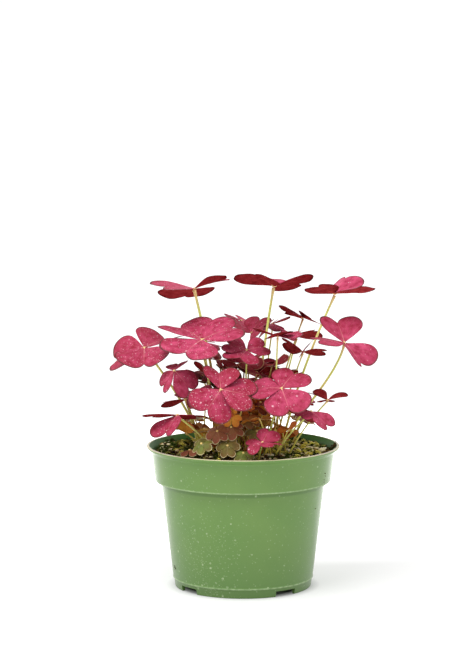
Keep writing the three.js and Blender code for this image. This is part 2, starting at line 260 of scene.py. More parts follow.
drain_radius, drain_distance, drain_sides, drain_overshoot = 3.5, 31, 24, 2
sharp_from = 35


def cut_away(part, corners, faces):
    """Cuts a closed shape out of part, and leaves the result in its mesh."""
    tool_mesh = bpy.data.meshes.new("cutter")
    tool_mesh.from_pydata([Vector(corner) * MM for corner in corners], [], faces)
    tool = bpy.data.objects.new("cutter", tool_mesh)
    scene.collection.objects.link(tool)
    cut = part.modifiers.new("cut", "BOOLEAN")
    cut.operation = "DIFFERENCE"
    cut.object = tool
    part.data = bpy.data.meshes.new_from_object(part.evaluated_get(bpy.context.evaluated_depsgraph_get()))
    part.modifiers.clear()
    bpy.data.objects.remove(tool)


def upright_prism(outline, low, high):
    """Corners and faces of an outline of (x, y) points drawn up from low to high."""
    count = len(outline)
    corners = [(x, y, low) for x, y in outline] + [(x, y, high) for x, y in outline]
    faces = [tuple(reversed(range(count))), tuple(range(count, 2 * count))]
    faces += [(k, (k + 1) % count, count + (k + 1) % count, count + k) for k in range(count)]
    return corners, faces


def empty_group(name, inputs, outputs):
    """A node group with its sockets alone, each named with its kind."""
    tree = bpy.data.node_groups.new(name, "ShaderNodeTree")
    for in_out, sockets in (("INPUT", inputs), ("OUTPUT", outputs)):
        for label, kind in sockets.items():
            tree.interface.new_socket(label, in_out=in_out, socket_type="NodeSocket" + kind)
    return tree


def specks_group():
    """Mask of scattered dried specks: Scale per metre, Share of cells that hold one, Size in cells."""
    inputs = {"Scale": "Float", "Share": "Float", "Size": "Float"}
    tree = empty_group("mineral_specks", inputs, {"Mask": "Float"})
    given = tree.nodes.new("NodeGroupInput").outputs
    place = node(tree, "ShaderNodeTexCoord").outputs["Object"]
    cells = node(tree, "ShaderNodeTexVoronoi", {"Vector": place, "Scale": given["Scale"]}).outputs
    chance = node(tree, "ShaderNodeSeparateColor", {"Color": cells["Color"]}).outputs
    kept = maths(tree, "LESS_THAN", chance["Red"], given["Share"])
    radius = maths(tree, "MULTIPLY", chance["Green"], given["Size"])
    spot = ramp(tree, cells["Distance"], maths(tree, "MULTIPLY", radius, 0.4), radius, 1.0, 0.0)
    frayed = ramp(tree, cloud(tree, 2600.0, 2.0, place), 0.38, 0.52)
    mask = maths(tree, "MULTIPLY", maths(tree, "MULTIPLY", spot, kept), frayed)
    tree.links.new(mask, tree.nodes.new("NodeGroupOutput").inputs["Mask"])
    return tree


def mottle_group():
    """Two colours mixed by soft noise: Scale per metre, Contrast from 0 to 1."""
    inputs = {"First": "Color", "Second": "Color", "Scale": "Float", "Contrast": "Float"}
    tree = empty_group("mottle", inputs, {"Color": "Color"})
    given = tree.nodes.new("NodeGroupInput").outputs
    place = node(tree, "ShaderNodeTexCoord").outputs["Object"]
    noisy = cloud(tree, given["Scale"], 4.0, place)
    spread = maths(tree, "MULTIPLY_ADD", given["Contrast"], 0.5, 0.5)
    mask = ramp(tree, noisy, 0.3, 0.7, maths(tree, "SUBTRACT", 1.0, spread), spread)
    mixed = between(tree, mask, given["First"], given["Second"])
    tree.links.new(mixed, tree.nodes.new("NodeGroupOutput").inputs["Color"])
    return tree


def between(tree, mask, first, second):
    """Colour mixed from first to second by a mask."""
    return node(tree, "ShaderNodeMix", {0: mask, 6: first, 7: second}, data_type="RGBA").outputs[2]


def use(tree, group, inputs):
    """A node group placed in a material; returns its outputs."""
    return node(tree, "ShaderNodeGroup", inputs, node_tree=group).outputs


def mottled(tree, first, second, scale, contrast):
    """Two colours in soft patches."""
    inputs = {"First": first, "Second": second, "Scale": scale, "Contrast": contrast}
    return use(tree, mottle, inputs)["Color"]


def specked(tree, scale, share, size):
    """Mask of dried specks in a material."""
    return use(tree, mineral_specks, {"Scale": scale, "Share": share, "Size": size})["Mask"]


def roughened(tree, surface, height, strength, depth):
    """Fine relief on a surface, with its depth in millimetres."""
    bump = node(tree, "ShaderNodeBump", {"Height": height, "Strength": strength, "Distance": depth * MM})
    tree.links.new(bump.outputs[0], surface.inputs["Normal"])


def band(tree, value, middle, half_width):
    """A soft line where the value is near the middle."""
    off = maths(tree, "ABSOLUTE", maths(tree, "SUBTRACT", value, middle))
    return ramp(tree, off, 0.4 * half_width, half_width, 1.0, 0.0)


mineral_specks = specks_group()
mottle = mottle_group()


def pot_outside_finish():
    material, tree, surface = finish(
        "sage_green_plastic",
        {"Specular IOR Level": 0.35, "Coat Weight": 0.42, "Coat Roughness": 0.12},
    )
    place = node(tree, "ShaderNodeTexCoord").outputs["Object"]
    height = node(tree, "ShaderNodeSeparateXYZ", {0: place}).outputs["Z"]
    height = maths(tree, "DIVIDE", height, MM)
    skin = mottled(tree, (0.116, 0.242, 0.047, 1), (0.15, 0.274, 0.058, 1), 30.0, 0.9)
    low_on_wall = ramp(tree, height, foot_top, foot_top + 40, 0.62, 0.0)
    skin = between(tree, low_on_wall, skin, (0.085, 0.18, 0.038, 1))
    foot = ramp(tree, height, foot_top - 0.7, foot_top - 0.3, 1.0, 0.0)
    skin = between(tree, foot, skin, (0.095, 0.19, 0.04, 1))
    # Painted shade: a darker band just under the ledge at the foot of the collar
    ledge_painted_shade = band(tree, height, collar_bottom - 1.9, 1.8)
    skin = between(tree, maths(tree, "MULTIPLY", ledge_painted_shade, 0.5), skin, (0.06, 0.14, 0.025, 1))

    # Dust and dried drops lie in patches, and thickest in two places low on the left. Each of these
    # has its middle, the distances from it where it starts to fade and ends, and its extra share.
    share = ramp(tree, cloud(tree, 34.0, 3.0), 0.42, 0.64, 0.02, 0.17)
    splash, chipped = ((-26, -36, 24), 10, 36, 0.4), ((-18, -37, 3), 3, 9, 0.8)
    for middle, inner, outer, extra in (splash, chipped):
        near = ramp(tree, distance(tree, place, middle), inner, outer, extra, 0.0)
        share = maths(tree, "ADD", share, near)
    fine = maths(tree, "MULTIPLY", specked(tree, 1150.0, share, 0.7), 0.55)
    drops = specked(tree, 420.0, maths(tree, "MULTIPLY", share, 0.55), 0.42)
    scuffs = maths(tree, "MAXIMUM", fine, drops)
    skin = between(tree, maths(tree, "MULTIPLY", scuffs, 0.6), skin, (0.58, 0.68, 0.42, 1))

    # Painted highlights: pale lines on the ledge's lower edge and the bead over the foot, broken by noise
    highlight_breakup = ramp(tree, cloud(tree, 60.0, 3.0), 0.3, 0.7, 0.15, 0.85)
    ledge_highlight_line = band(tree, height, collar_bottom - 0.1, 0.5)
    foot_highlight_line = band(tree, height, foot_top - 0.3, 0.7)
    edge_highlights = maths(tree, "MAXIMUM", ledge_highlight_line, foot_highlight_line)
    skin = between(tree, maths(tree, "MULTIPLY", edge_highlights, highlight_breakup), skin, (0.36, 0.5, 0.25, 1))
    # Painted highlight: the flat top of the lip is pale cream where it faces the light
    lip = ramp(tree, height, pot_top - 0.45, pot_top - 0.15)
    skin = between(tree, lip, skin, (0.66, 0.6, 0.38, 1))
    tree.links.new(skin, surface.inputs["Base Color"])
    tree.links.new(ramp(tree, scuffs, 0.0, 1.0, 0.42, 0.75), surface.inputs["Roughness"])
    roughened(tree, surface, cloud(tree, 900.0, 3.0), 0.12, 0.2)
    return material


def pot_inside_finish():
    material, tree, surface = finish("deep_green_inside", {"Roughness": 0.5, "Specular IOR Level": 0.25})
    skin = mottled(tree, (0.03, 0.14, 0.012, 1), (0.06, 0.2, 0.02, 1), 40.0, 0.8)
    skin = between(tree, specked(tree, 260.0, 0.25, 0.4), skin, (0.03, 0.04, 0.01, 1))
    tree.links.new(skin, surface.inputs["Base Color"])
    return material


pot_corners, pot_faces = turned(rounded(pot_profile), pot_sides)
pot = piece("pot_shell", pot_corners, pot_faces, [pot_outside_finish(), pot_inside_finish()])
for i in range(notch_count):
    outward = Vector(round_axis(1, math.radians(first_notch + 360 * i / notch_count)))
    sideways = Vector((-outward.y, outward.x)) * notch_width / 2
    inner, outer = outward * (foot_radius - notch_reach), outward * (foot_radius + notch_reach)
    notch = [inner - sideways, outer - sideways, outer + sideways, inner + sideways]
    cut_away(pot, *upright_prism(notch, -notch_height, notch_height))
    drain_turns = [2 * math.pi * k / drain_sides for k in range(drain_sides)]
    drain = [outward * drain_distance + Vector(round_axis(drain_radius, turn)) for turn in drain_turns]
    cut_away(pot, *upright_prism(drain, floor_under - drain_overshoot, floor_top + drain_overshoot))
# The faces that look towards the axis above the floor are the inside
for face in pot.data.polygons:
    faces_axis = face.normal.xy.dot(face.center.xy.normalized()) < -0.3
    face.material_index = int(faces_axis and face.center.z > floor_top * MM)
pot.data.polygons.foreach_set("use_smooth", np.ones(len(pot.data.polygons), bool))
pot.data.set_sharp_from_angle(angle=math.radians(sharp_from))
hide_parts("pot")


# Soil: dark peat that fills the pot to a few millimetres below the lip, heaped a little against
# the wall. Loose crumbs, bark and root fibres lie on it, and a few crumbs stick to the pot.
edge_height, mound, lump = 79.6, 2.6, 0.7
soil_gap = 0.3
settled_rings, settled_depth = 4, 0.6
# Each heap: its middle (x, y), width and rise
heaps = [((-43, 9), 11, 3), ((-42, -14), 8, 1.6), ((44, 6), 9, 1.8), ((38, -26), 8, 1.2)]


def soil_height(x, y):
    """The low lumpy mound of the packed soil, which the roots stand in."""
    out = math.hypot(x, y) / rim_radius
    lumps = math.sin(x * 0.31 + 1.2) * math.cos(y * 0.27 - 0.4) + 0.6 * math.sin(x * 0.13 - y * 0.41)
    return edge_height + mound * (1 - out * out) + lump * lumps * (1 - out**6)


def crumbly_height(x, y):
    """Soil surface with its crumbs: heaps, soft clods and finer grit over the mound."""
    place = Vector((x, y, 0))
    clods, grit = noise.fractal(place * 0.22, 0.7, 2.1, 4), noise.noise(place * 1.7)
    height = soil_height(x, y) + 0.9 * clods + 0.25 * grit
    for middle, width, rise in heaps:
        off = (place.xy - Vector(middle)).length / width
        height += rise * math.exp(-2 * off * off)
    return height


def soil_body():
    """Crumbly top, settled at its edge, and plain sides that follow the inside of the pot."""
    sides, rings = 300, 110
    inner_top = collar_top_radius - pot_wall
    inner_bottom = collar_bottom_radius - pot_wall
    slope = (inner_top - inner_bottom) / (pot_top - lip_height - collar_bottom - pot_wall)
    edge = inner_top - (pot_top - lip_height - edge_height) * slope - soil_gap
    corners = [(0, 0, crumbly_height(0, 0))]
    for ring in range(1, rings + 1):
        radius = edge * ring / rings
        settle = max(0, (ring - rings + settled_rings) / settled_rings)
        for k in range(sides):
            x, y = round_axis(radius, 2 * math.pi * k / sides)
            height = crumbly_height(x, y) * (1 - settle) + settle * (edge_height - settled_depth)
            corners.append((x, y, height))
    sunk = (
        (inner_bottom, collar_bottom + 2),
        (body_top_radius - pot_wall, collar_bottom - 0.5),
        (body_bottom_radius - pot_wall, floor_top + 1),
        (body_bottom_radius - pot_wall - 1, floor_top),
    )
    for radius, height in sunk:
        for k in range(sides):
            corners.append(round_axis(radius - soil_gap, 2 * math.pi * k / sides, height + soil_gap))
    corners.append((0, 0, floor_top + soil_gap))
    # Its rings run from the top down, so its faces turn the other way
    return corners, [face[:1] + face[:0:-1] for face in ring_faces(sides, rings + len(sunk))]


def own_number(tree, label):
    """A number that the mesh keeps at its corners."""
    return node(tree, "ShaderNodeAttribute", attribute_name=label).outputs["Fac"]


def soil_finish():
    material, tree, surface = finish("peat", {"Roughness": 0.95, "Specular IOR Level": 0.1})
    skin = mottled(tree, (0.006, 0.005, 0.002, 1), (0.12, 0.075, 0.025, 1), 420.0, 1.0)
    skin = between(tree, own_number(tree, "tint"), skin, (0.42, 0.28, 0.08, 1))
    skin = between(tree, specked(tree, 700.0, 0.14, 0.5), skin, (0.34, 0.25, 0.1, 1))
    tree.links.new(skin, surface.inputs["Base Color"])
    roughened(tree, surface, cloud(tree, 1600.0, 4.0), 0.6, 0.5)
    return material


golden = (1 + 5**0.5) / 2
stone_corners = [
    Vector(corner).normalized()
    for corner in (
        (-1, golden, 0), (1, golden, 0), (-1, -golden, 0), (1, -golden, 0),
        (0, -1, golden), (0, 1, golden), (0, -1, -golden), (0, 1, -golden),
        (golden, 0, -1), (golden, 0, 1), (-golden, 0, -1), (-golden, 0, 1),
    )
]
stone_faces = [
    (0, 11, 5), (0, 5, 1), (0, 1, 7), (0, 7, 10), (0, 10, 11), (1, 5, 9), (5, 11, 4), (11, 10, 2),
    (10, 7, 6), (7, 1, 8), (3, 9, 4), (3, 4, 2), (3, 2, 6), (3, 6, 8), (3, 8, 9), (4, 9, 5),
    (2, 4, 11), (6, 2, 10), (8, 6, 7), (9, 8, 1),
]


def tube(points, radii, sides):
    """Corners, faces and each corner's share of the way for a round tube with closed ends."""
    corners, along = [], []
    across = Vector((1, 0, 0))
    for i, (point, radius) in enumerate(zip(points, radii)):
        tangent = (points[min(i + 1, len(points) - 1)] - points[max(i - 1, 0)]).normalized()
        across = (across - tangent * across.dot(tangent)).normalized()
        side = tangent.cross(across)
        for k in range(sides):
            angle = 2 * math.pi * k / sides
            corners.append(point + radius * (math.cos(angle) * across + math.sin(angle) * side))
            along.append(i / (len(points) - 1))
    faces = [tuple(reversed(range(sides)))]
    for i in range(len(points) - 1):
        low = i * sides
        for k in range(sides):
            after = (k + 1) % sides
            faces.append((low + k, low + after, low + sides + after, low + sides + k))
    faces.append(tuple(range(len(corners) - sides, len(corners))))
    return corners, faces, along


class Scatter:
    """Small loose shapes gathered in one mesh, each with a tint of its own."""

    def __init__(self, seed):
        self.draw = random.Random(seed)
        self.corners, self.faces, self.tints = [], [], []

    def add(self, corners, faces, tint):
        start = len(self.corners)
        self.corners += [tuple(corner) for corner in corners]
        self.faces += [tuple(start + k for k in face) for face in faces]
        self.tints += [tint] * len(corners)

    def spot(self, reach):
        """A place (x, y) anywhere within reach of the axis."""
        radius = reach * math.sqrt(self.draw.random())
        return round_axis(radius, self.draw.uniform(0, 2 * math.pi))

    def add_stone(self, centre, sizes, turn, tint):
        """One irregular grain with half sizes along its own axes, turned about Z."""
        cos, sin = math.cos(turn), math.sin(turn)
        corners = []
        for corner in stone_corners:
            x, y, z = (axis * size * self.draw.uniform(0.7, 1.15) for axis, size in zip(corner, sizes))
            corners.append((centre[0] + x * cos - y * sin, centre[1] + x * sin + y * cos, centre[2] + z))
        self.add(corners, stone_faces, tint)

    def add_fibre(self, start, heading, length, radius, tint, steps=8):
        """A thin root fibre that wanders from its start."""
        points = [Vector(start)]
        step = Vector(heading).normalized() * length / steps
        for _ in range(steps):
            step += Vector([self.draw.gauss(0, 0.12) for _ in range(3)]) * length / steps
            points.append(points[-1] + step)
        corners, faces, _ = tube(points, [radius] * len(points), 4)
        self.add(corners, faces, tint)

    def piece(self, name, material):
        return piece(name, self.corners, self.faces, [material], numbers={"tint": self.tints}, smooth=False)


peat = soil_finish()
soil_corners, soil_faces = soil_body()
soil = piece("soil_fill", soil_corners, soil_faces, [peat], numbers={"tint": np.zeros(len(soil_corners))})
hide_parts("soil")

crumb_count, crumb_reach = 3600, 51.4
caught_count, fibre_count, fibre_reach = 80, 60, 50
crumbs = Scatter(11)
draw = crumbs.draw
for _ in range(crumb_count):
    x, y = crumbs.spot(crumb_reach)
    size = draw.uniform(0.25, 0.55) * (2 if draw.random() < 0.15 else 1)
    sizes = (size * draw.uniform(0.9, 1.8), size, size * 0.8)
    place = (x, y, crumbly_height(x, y) + 0.2 * size)
    crumbs.add_stone(place, sizes, draw.uniform(0, math.pi), draw.random() ** 2)
for _ in range(caught_count):
    # A small clump that has caught on the flare of the lip at the right
    angle = math.radians(draw.gauss(2, 3))
    drop = abs(draw.gauss(0, 1.2))
    place = round_axis(rim_radius - 2.2 - 0.87 * drop, angle, pot_top + 0.1 - drop)
    size = draw.uniform(0.3, 0.7)
    crumbs.add_stone(place, (size, size * 0.8, size * 0.7), draw.uniform(0, math.pi), 0.1 * draw.random())
for _ in range(fibre_count):
    x, y = crumbs.spot(fibre_reach)
    heading = (draw.gauss(0, 1) - 0.02 * x, draw.gauss(0, 1) - 0.02 * y, 0.15)
    start = (x, y, crumbly_height(x, y) + 0.2)
    crumbs.add_fibre(start, heading, draw.uniform(2, 6), draw.uniform(0.08, 0.16), draw.uniform(0.3, 1))
crumbs.add_fibre((rim_radius - 2, 0.5, pot_top), (0.1, 0.1, 1), 4.5, 0.14, 0)
# Crumbs that cling to the outside of the pot: the angle and height of each in the two clumps
low_clump = [(-162, 13.7), (-161.5, 12.9), (-160.8, 12.2)]
high_clump = [(-25.5, 70.6), (-24.5, 68.9), (-26, 66.8), (-25.6, 65.4), (-25.5, 49.3)]
for turn, height in low_clump + high_clump:
    foot, top, low, high = body_bottom_radius, body_top_radius, foot_top, collar_bottom
    if height > collar_bottom:
        foot, top, low, high = collar_bottom_radius, collar_top_radius, collar_bottom, pot_top - lip_height
    radius = foot + (top - foot) * (height - low) / (high - low)
    size = draw.uniform(0.3, 0.55)
    crumbs.add_stone(round_axis(radius, math.radians(turn), height), (size, size, size), turn, 0)
crumbs.piece("soil_crumbs", peat)


# Pale grains: crumbs of white perlite and chips of bark, which were mixed into the soil to keep it
# open. They lie loose on its surface, most of them at the right.
def grain_finish():
    material, tree, surface = finish("perlite_and_bark", {"Roughness": 0.8})
    perlite = mottled(tree, (0.85, 0.76, 0.33, 1), (0.97, 0.95, 0.7, 1), 500.0, 1.0)
    bark_share = ramp(tree, own_number(tree, "tint"), 0.65, 0.85)
    skin = between(tree, bark_share, perlite, (0.36, 0.26, 0.07, 1))
    tree.links.new(skin, surface.inputs["Base Color"])
    return material


grains = Scatter(23)
draw = grains.draw
grain_count = 680
# The chips that show: each one's place (x, y), half sizes, turn in degrees and tint
chips = [
    ((46.5, -4), (4.4, 1.4, 1.1), 48, 0.0),
    ((42, 7), (1.9, 1.1, 0.8), 20, 0.1),
    ((40, 13), (1.5, 1, 0.8), 130, 0.2),
    ((45, 1), (1.6, 0.9, 0.7), 80, 0.0),
    ((37, -2), (1.4, 1, 0.7), 40, 0.3),
    ((-41, -4), (2, 1.2, 0.8), 10, 0.2),
    ((-36, -12), (1.6, 1, 0.7), 70, 0.35),
    ((-45, 3), (1.4, 0.9, 0.7), 150, 0.1),
]
for k in range(grain_count):
    # Half of them lie at the right, a quarter at the left and the rest all over
    side = draw.gauss(-8, 30) if k % 2 else draw.gauss(172, 22) if k % 4 == 0 else draw.uniform(0, 360)
    spot = round_axis(draw.uniform(20, 50), math.radians(side))
    size = draw.uniform(0.45, 1.1) * (1.7 if draw.random() < 0.2 else 1)
    sizes = (size * draw.uniform(1, 1.9), size, size * 0.55)
    chips.append((spot, sizes, draw.uniform(0, 180), draw.random() ** 1.4))
for (x, y), sizes, turn, tint in chips:
    grains.add_stone((x, y, crumbly_height(x, y) + 0.8 * sizes[2]), sizes, math.radians(turn), tint)
grains.piece("pale_grains", grain_finish())


# Moss: low cushions of tiny pointed shoots on the damp soil, dark green against the left wall and
# yellow-green where they catch light at the right.
def moss_finish():
    material, tree, surface = finish("moss_green", {"Roughness": 0.7, "Specular IOR Level": 0.2})
    skin = mottled(tree, (0.008, 0.035, 0.002, 1), (0.13, 0.19, 0.015, 1), 420.0, 1.0)
    lit_share = ramp(tree, own_number(tree, "tint"), 0.5, 0.95)
    skin = between(tree, lit_share, skin, (1.0, 0.95, 0.26, 1))
    tree.links.new(skin, surface.inputs["Base Color"])
    return material


moss = Scatter(37)
draw = moss.draw
shoot_width, shoots_to_a_tuft = 0.44, 6
# Each stretch of moss: its middle angle and spread in degrees, reach from and to, cushions and tint
stretches = [
    (176, 28, 30, 49, 70, 0.35),
    (-4, 26, 24, 48, 80, 0.75),
    (-140, 25, 26, 48, 30, 0.5),
    (90, 180, 22, 49, 60, 0.4),
]
for middle, spread, nearest, furthest, count, lit in stretches:
    for _ in range(count):
        angle = math.radians(draw.gauss(middle, spread))
        centre = Vector(round_axis(draw.uniform(nearest, furthest), angle))
        width = draw.uniform(0.9, 2.6)
        cushion_tint = lit + draw.gauss(0, 0.42)
        for _ in range(int(15 * width)):
            offset = Vector((draw.gauss(0, 0.5), draw.gauss(0, 0.5)))
            spot = centre + offset * width
            if spot.length > crumb_reach:
                continue
            rise = 1.6 * math.exp(-offset.length_squared * 1.5)
            base = Vector((spot.x, spot.y, crumbly_height(spot.x, spot.y) + rise))
            tint = min(1, max(0, cushion_tint + draw.gauss(0, 0.12)))
            for shoot in range(shoots_to_a_tuft):
                turn = shoot * 2 * math.pi / shoots_to_a_tuft + draw.uniform(-0.4, 0.4)
                reach = Vector(round_axis(1, turn, draw.uniform(0.3, 1.1))).normalized()
                side = Vector((-math.sin(turn), math.cos(turn), 0)) * shoot_width / 2
                length = draw.uniform(0.7, 1.25)
                elbow = base + reach * length * 0.55
                kite = [base, elbow + side, base + reach * length, elbow - side]
                moss.add(kite, [(0, 1, 2, 3)], tint)
moss.piece("moss", moss_finish())


# Stalks: one round juicy stalk to each leaf. It stands in its hole in the soil, bows outwards and
# swells a little under the hub, where it turns from yellow-green to straw.

# The full-grown leaves, which the stalks and the blades share. Each row: hub (x, y, z), root (x, y),
# length of the leaflets, then each leaflet's azimuth, rise, roll and fold in degrees, with its share
# of that length where it is shorter or longer, and last the bow under the hub where it differs.
full_leaves = [
    ((-29, 20, 174.5), (-12, 13), 24.5, ((210, 11, 4, -4), (109, -14, 0, -9), (358, 22, 12, -8, 0.87))),
    ((18, 13, 176.5), (6, 3), 22.5, ((227, 33, -4, 15), (115, 16, -3, 0, 0.88), (33, 7, 23, -3))),
    ((54, 8, 172.5), (23, 2), 21, ((217, 27, -16, 3, 0.8), (55, 43, 11, 23, 0.83), (332, 23, 7, 10, 1.05))),
    ((-58, 0, 141.5), (-24, 6), 22.5, ((165, -19, 30, -13), (50, 16, -6, -21), (270, -20, -7, -21))),
    ((-24, -10, 147.5), (-15, -6), 25, ((131, 20, 6, -15, 1.03), (12, 25, -17, -2, 0.97),
     (242, -10, 10, -3, 1.02))),
    ((-40, -22, 131), (-26, -10), 16.5, ((75, 25, 17, -9, 0.6), (174, -50, 27, -2, 0.81),
     (355, -46, -33, 0))),
    ((-13, -41, 122.5), (-9, -18), 20.5, ((95, 50, -10, -28, 0.74), (232, -40, 45, 3, 0.94),
     (350, -7, -30, 1))),
    ((22, -36, 122.5), (13, -22), 19.5, ((51, 36, -15, 5, 0.9), (291, -40, -14, -14), (173, 3, 21, 0, 0.9))),
    ((2, -12, 141.5), (1, -11), 15.5, ((18, 14, -29, -4, 0.85), (252, -8, 12, 10), (169, 23, 21, -2, 0.9))),
    ((59, -12, 146), (22, -6), 21, ((110, 50, -4, -20, 0.9), (202, 14, 5, 5, 0.9),
     (326, -39, 0, -25, 0.95)), -0.2),
    ((39, -38, 109.5), (19, -26), 15, ((336, -33, -5, -8), (122, -12, -30, 4, 0.9), (222, -10, 10, 5, 0.6))),
    ((49, -20, 113.5), (27, -19), 12.5, ((190, 30, -20, -15, 0.9), (359, 15, 10, -20),
     (100, -10, 0, 6, 0.6))),
    ((36, 34, 155.5), (15, 20), 15, ((141, 17, -27, -5), (303, 3, 31, -6, 0.86), (220, 30, 0, 12, 0.7))),
    ((-38, -32, 106.5), (-17, -20), 18, ((155, -1, -11, 0, 1.05), (232, -35, -15, -14),
     (34, -3, 12, 7, 0.85))),
    ((-33, -12, 112.5), (-25, -6), 15, ((188, 0, -19, 10), (72, 19, -2, 10), (318, 25, -35, 9))),
    ((5, 22, 147.5), (1, 18), 15, ((190, 40, 14, 2, 0.9), (50, 48, 0, -4, 0.9), (307, 30, -30, 9))),
    ((-1, 44, 152.5), (-4, 25), 12.5, ((179, 30, -3, 7, 0.9), (60, -2, -14, -8, 0.95), (290, -5, 0, 5))),
    ((18, 36, 151.5), (10, 22), 12.5, ((6, 30, 12, 8, 0.9), (121, -15, 35, 12), (255, -4, 0, 10))),
    ((20, -18, 150.5), (18, -14), 15, ((357, 18, -4, 9), (161, 20, -15, 0), (270, 25, -15, 12, 0.8))),
    ((32, 19, 145.5), (18, 8), 14, ((82, 0, 10, -20, 0.8), (342, 26, 22, 15), (214, 30, 20, 9))),
    ((35, -4, 139.5), (19, -4), 14, ((156, 32, -35, 11), (6, 6, 20, 4), (278, 30, -50, 6, 0.7))),
    ((8, 17, 121.5), (4, 9), 15, ((75, 50, 10, 10), (5, 35, 40, 10), (215, -11, 3, 10))),
    ((11, -48, 93), (9, -38), 10.5, ((51, 48, -17, 22), (185, -8, 30, 15, 0.93), (320, 4, 0, 8))),
    ((-26, 44, 139.5), (-14, 20), 15, ((100, 5, 0, 10), (220, -5, 0, 10), (340, -5, 0, 10))),
    ((2, 43, 116.5), (2, 28), 17, ((60, -10, 0, 10), (178, 0, 10, 10), (318, 0, -10, 10))),
    ((28, 44, 106.5), (20, 26), 16, ((60, -15, 0, 10), (180, -5, 0, 10), (300, 0, 0, 10))),
]
hole_depth, neck_height, stalk_bow = 7, 0.8, 0.11


def stalk_route(root, end, steps, top_bow=stalk_bow):
    """Points of a stalk from the bottom of its hole, up its neck and along its bow to its end."""
    ground = soil_height(*root)
    neck = Vector((*root, ground + neck_height))
    reach = Vector(end) - neck
    level = Vector((reach.x, reach.y, 0))
    low = neck + reach / 3 - stalk_bow * level
    high = neck + reach * 2 / 3 - top_bow * level
    points = [Vector((*root, ground - hole_depth + soil_gap)), Vector((*root, ground - 1.5))]
    for i in range(steps + 1):
        t = i / steps
        start = neck * (1 - t) ** 3 + low * 3 * t * (1 - t) ** 2
        points.append(start + high * 3 * t * t * (1 - t) + Vector(end) * t**3)
    return points


def stalk_finish(name, first, second, foot_tone, top_tone):
    material, tree, surface = finish(name, {"Roughness": 0.42, "Specular IOR Level": 0.3})
    along = own_number(tree, "along")
    skin = mottled(tree, first, second, 60.0, 0.9)
    skin = between(tree, ramp(tree, along, 0.05, 0.5), foot_tone, skin)
    skin = between(tree, ramp(tree, along, 0.9, 1.0), skin, top_tone)
    tree.links.new(skin, surface.inputs["Base Color"])
    roughened(tree, surface, cloud(tree, 800.0, 2.0), 0.15, 0.2)
    return material


stalk_green = stalk_finish(
    "stalk_green", (0.66, 0.74, 0.14, 1), (0.86, 0.82, 0.28, 1), (0.8, 0.72, 0.11, 1), (0.9, 0.66, 0.3, 1)
)
# How far a stalk's end lies under the hub, and the shares that it thins and then swells by
top_of_stalk, thinning, swelling = 0.9, 0.12, 0.45
stalk_steps, stalk_sides = 36, 12


def stalk_radius(leaf_length):
    return max(0.5, 0.035 * leaf_length)


for number, (hub, root, length, leaflets, *top_bow) in enumerate(full_leaves, 1):
    route = stalk_route(root, (hub[0], hub[1], hub[2] - top_of_stalk), stalk_steps, *top_bow)
    last = len(route) - 1
    shares = [1 - thinning * i / last + swelling * max(0, (i - last + 2) / 2) for i in range(last + 1)]
    corners, faces, along = tube(route, [stalk_radius(length) * share for share in shares], stalk_sides)
    stalk = piece(f"stalk_{number:02d}", corners, faces, [stalk_green], numbers={"along": along})
    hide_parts(f"petiole_{number:02d}")


# Leaves: three thin leaflets meet at a small pale hub. Each has two round lobes with a notch
# between them and folds along its midrib; it is pink-purple above and dark red underneath.
lobe_across, lobe_along, lobe_radius, lobe_spread = 0.32, 0.64, 0.35, 1.08
fold_softness, tip_curl = 0.1, 0.25
blade_half_thickness, first_ring = 0.16, 0.035
rim_bulge, rim_thinning = 0.07, 0.65
hub_radius, stub_share, stub_drop, stub_sides = 0.8, 0.09, 0.2, 8
stub_radii = (0.62, 0.55, 0.48, 0.4, 0.2)


def leaflet_outline(steps):
    """Outline from the right side round both lobes to the left, for a length of 1."""
    side = math.atan2(lobe_along, lobe_across) - math.asin(lobe_radius / math.hypot(lobe_across, lobe_along))
    start = side - math.pi / 2
    end = math.pi - math.acos(lobe_across / lobe_radius)
    right = []
    for i in range(steps):
        angle = start + (end - start) * i / steps
        across = lobe_spread * (lobe_across + lobe_radius * math.cos(angle))
        right.append((across, lobe_along + lobe_radius * math.sin(angle)))
    notch = lobe_along + math.sqrt(lobe_radius**2 - lobe_across**2)
    return right + [(0, notch)] + [(-across, along) for across, along in reversed(right)]


def leaflet_axes(azimuth, rise, roll):
    """Along the midrib, across to the right, and up out of the upper face."""
    turn, lift, tilt = (math.radians(angle) for angle in (azimuth, rise, roll))
    along = Vector((math.cos(turn) * math.cos(lift), math.sin(turn) * math.cos(lift), math.sin(lift)))
    level = Vector((math.sin(turn), -math.cos(turn), 0))
    upright = level.cross(along)
    across = math.cos(tilt) * level + math.sin(tilt) * upright
    up = math.cos(tilt) * upright - math.sin(tilt) * level
    return along, across, up


